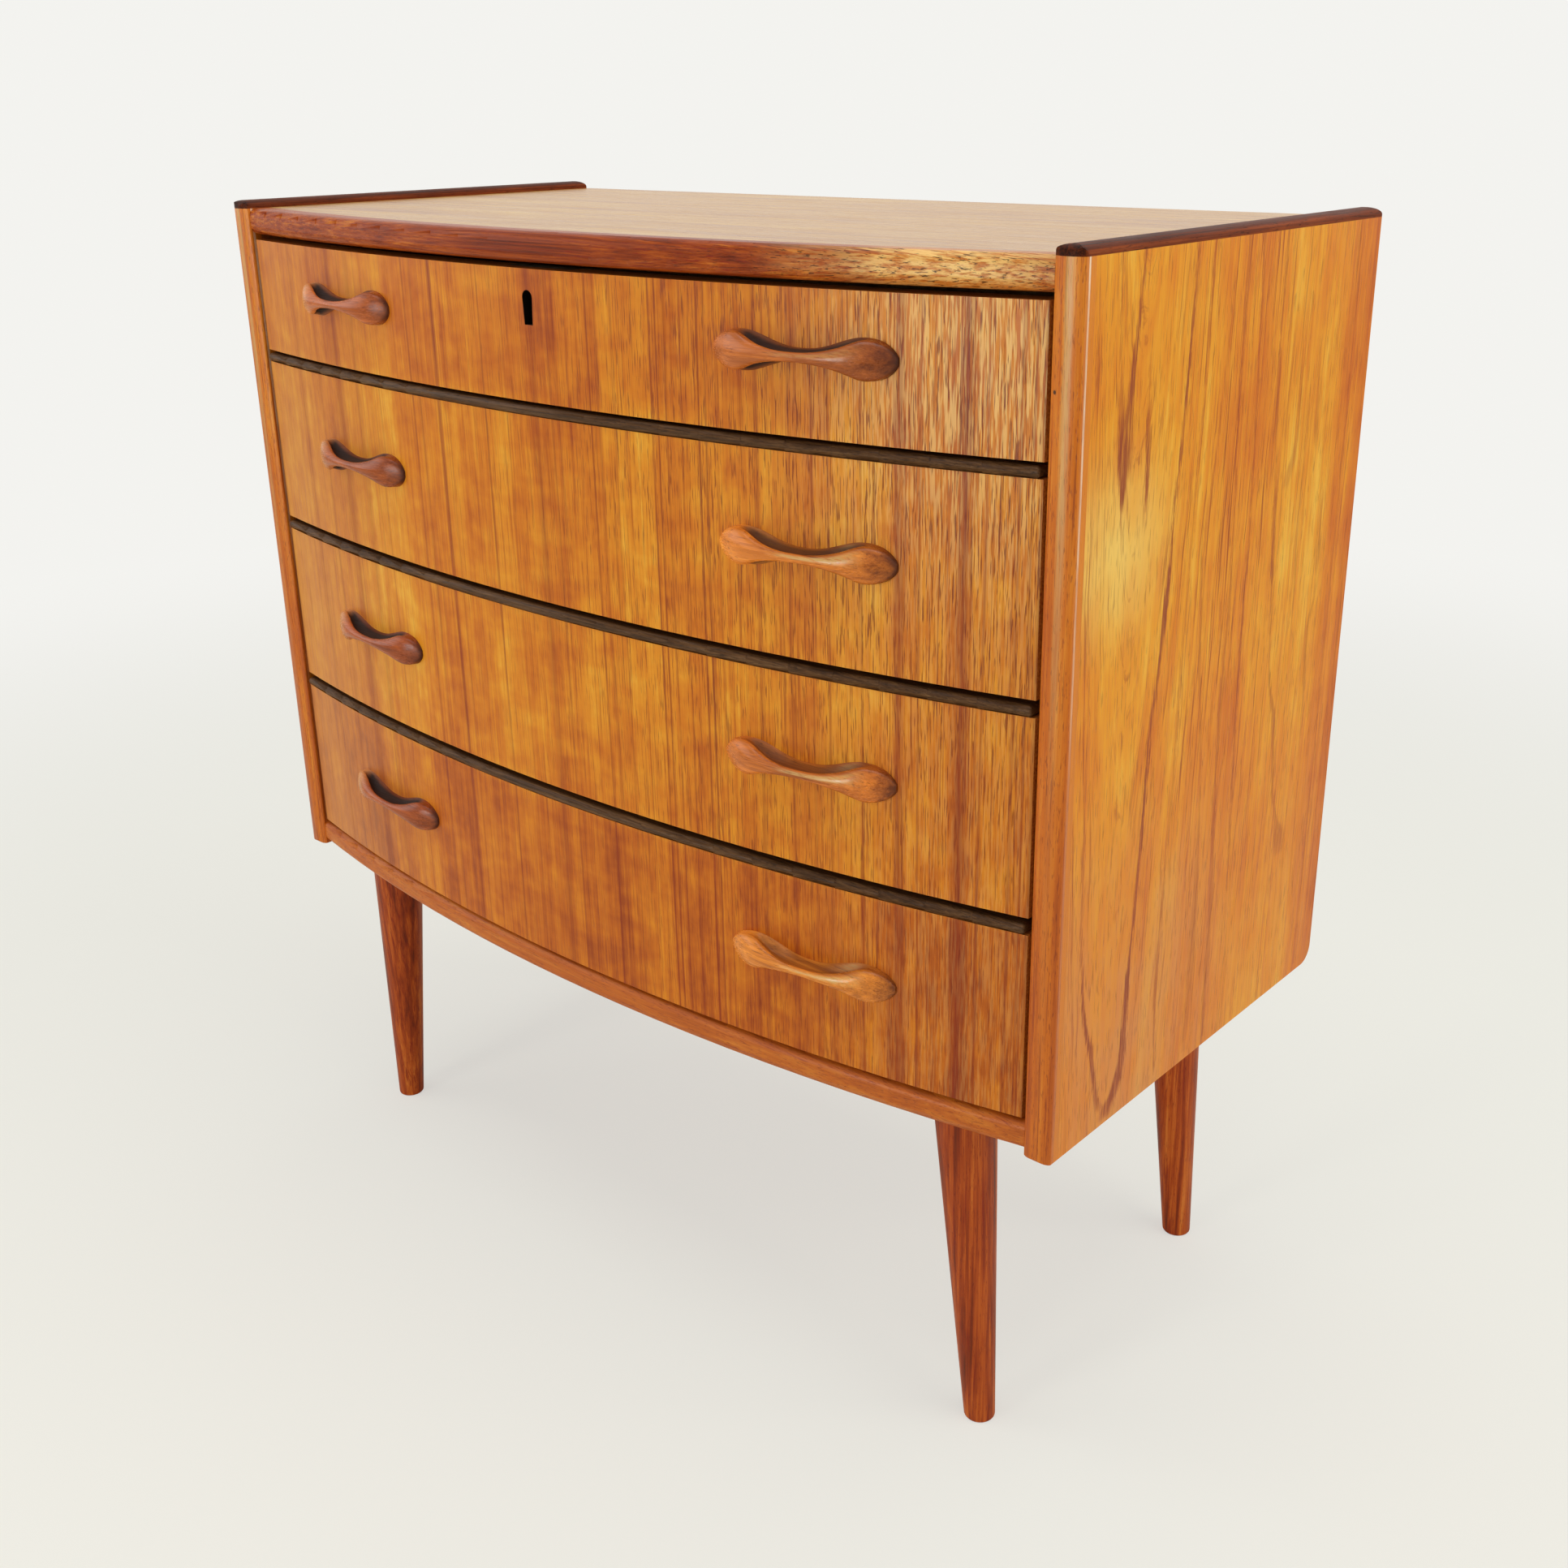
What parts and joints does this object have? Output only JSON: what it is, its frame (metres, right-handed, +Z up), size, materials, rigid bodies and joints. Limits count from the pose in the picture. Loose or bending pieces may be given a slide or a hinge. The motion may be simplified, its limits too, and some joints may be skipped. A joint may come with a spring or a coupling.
{
  "type": "chest of drawers",
  "caption": "Bow-fronted chest of drawers in teak on splayed turned legs, with carved bow-tie handles and a lock in the top drawer.",
  "frame": {"origin": "middle of the chest's footprint, on the floor: half way across, and half way between the foremost point of the handles and the back", "axes": "+X to the right as one faces the drawers, +Y to the back, +Z up"},
  "size_m": [0.74, 0.3694, 0.7478],
  "materials": {
    "teak_side": "satin oiled veneer, upright grain",
    "teak_lipping": "satin oiled solid wood",
    "rosewood_cap": "satin",
    "teak_top": "satin oiled veneer",
    "teak_top_edge": "satin oiled solid wood",
    "teak_rail": "satin oiled solid wood",
    "beech_case": "matt",
    "plywood": "matt",
    "beech_runner": "matt, waxed by use",
    "screw_steel": "dull",
    "teak_leg": "satin oiled solid wood",
    "lock_steel": "dull",
    "teak_front": "satin oiled veneer, upright grain",
    "teak_handle": "smooth satin solid wood",
    "rosewood_strip": "satin",
    "beech_box": "matt"
  },
  "bodies": {
    "carcass": {"back_panel": "plywood", "back_screws": "screw_steel", "bottom_panel": "beech_case", "bottom_rail": "teak_rail", "leg_front_left": "teak_leg", "leg_front_right": "teak_leg", "leg_rear_left": "teak_leg", "leg_rear_right": "teak_leg", "runner_screws": "screw_steel", "runners_1": "beech_runner", "runners_2": "beech_runner", "runners_3": "beech_runner", "runners_4": "beech_runner", "side_cap_left": "rosewood_cap", "side_cap_right": "rosewood_cap", "side_nosing_left": "teak_lipping", "side_nosing_right": "teak_lipping", "side_panel_left": "teak_side", "side_panel_right": "teak_side", "top_nosing": "teak_top_edge", "top_panel": "teak_top"},
    "drawer_1": {"drawer_1_back": "beech_box", "drawer_1_bottom": "plywood", "drawer_1_front": "teak_front", "drawer_1_handle_left": "teak_handle", "drawer_1_handle_right": "teak_handle", "drawer_1_handle_screws": "screw_steel", "drawer_1_side_left": "beech_box", "drawer_1_side_right": "beech_box", "lock_case": "lock_steel", "lock_screws": "screw_steel"},
    "drawer_2": {"drawer_2_back": "beech_box", "drawer_2_bottom": "plywood", "drawer_2_front": "teak_front", "drawer_2_handle_left": "teak_handle", "drawer_2_handle_right": "teak_handle", "drawer_2_handle_screws": "screw_steel", "drawer_2_side_left": "beech_box", "drawer_2_side_right": "beech_box", "drawer_2_strip": "rosewood_strip"},
    "drawer_3": {"drawer_3_back": "beech_box", "drawer_3_bottom": "plywood", "drawer_3_front": "teak_front", "drawer_3_handle_left": "teak_handle", "drawer_3_handle_right": "teak_handle", "drawer_3_handle_screws": "screw_steel", "drawer_3_side_left": "beech_box", "drawer_3_side_right": "beech_box", "drawer_3_strip": "rosewood_strip"},
    "drawer_4": {"drawer_4_back": "beech_box", "drawer_4_bottom": "plywood", "drawer_4_front": "teak_front", "drawer_4_handle_left": "teak_handle", "drawer_4_handle_right": "teak_handle", "drawer_4_handle_screws": "screw_steel", "drawer_4_side_left": "beech_box", "drawer_4_side_right": "beech_box", "drawer_4_strip": "rosewood_strip"},
    "lock_bolt": {"lock_bolt": "lock_steel"}
  },
  "joints": [
    {"name": "drawer_1_slide", "type": "slide", "parent": "carcass", "child": "drawer_1", "axis": [0, -1, 0], "range_m": [0, 0.25]},
    {"name": "drawer_2_slide", "type": "slide", "parent": "carcass", "child": "drawer_2", "axis": [0, -1, 0], "range_m": [0, 0.25]},
    {"name": "drawer_3_slide", "type": "slide", "parent": "carcass", "child": "drawer_3", "axis": [0, -1, 0], "range_m": [0, 0.25]},
    {"name": "drawer_4_slide", "type": "slide", "parent": "carcass", "child": "drawer_4", "axis": [0, -1, 0], "range_m": [0, 0.25]},
    {"name": "lock_bolt_slide", "type": "slide", "parent": "drawer_1", "child": "lock_bolt", "axis": [0, 0, 1], "range_m": [0, 0.008]}
  ]
}
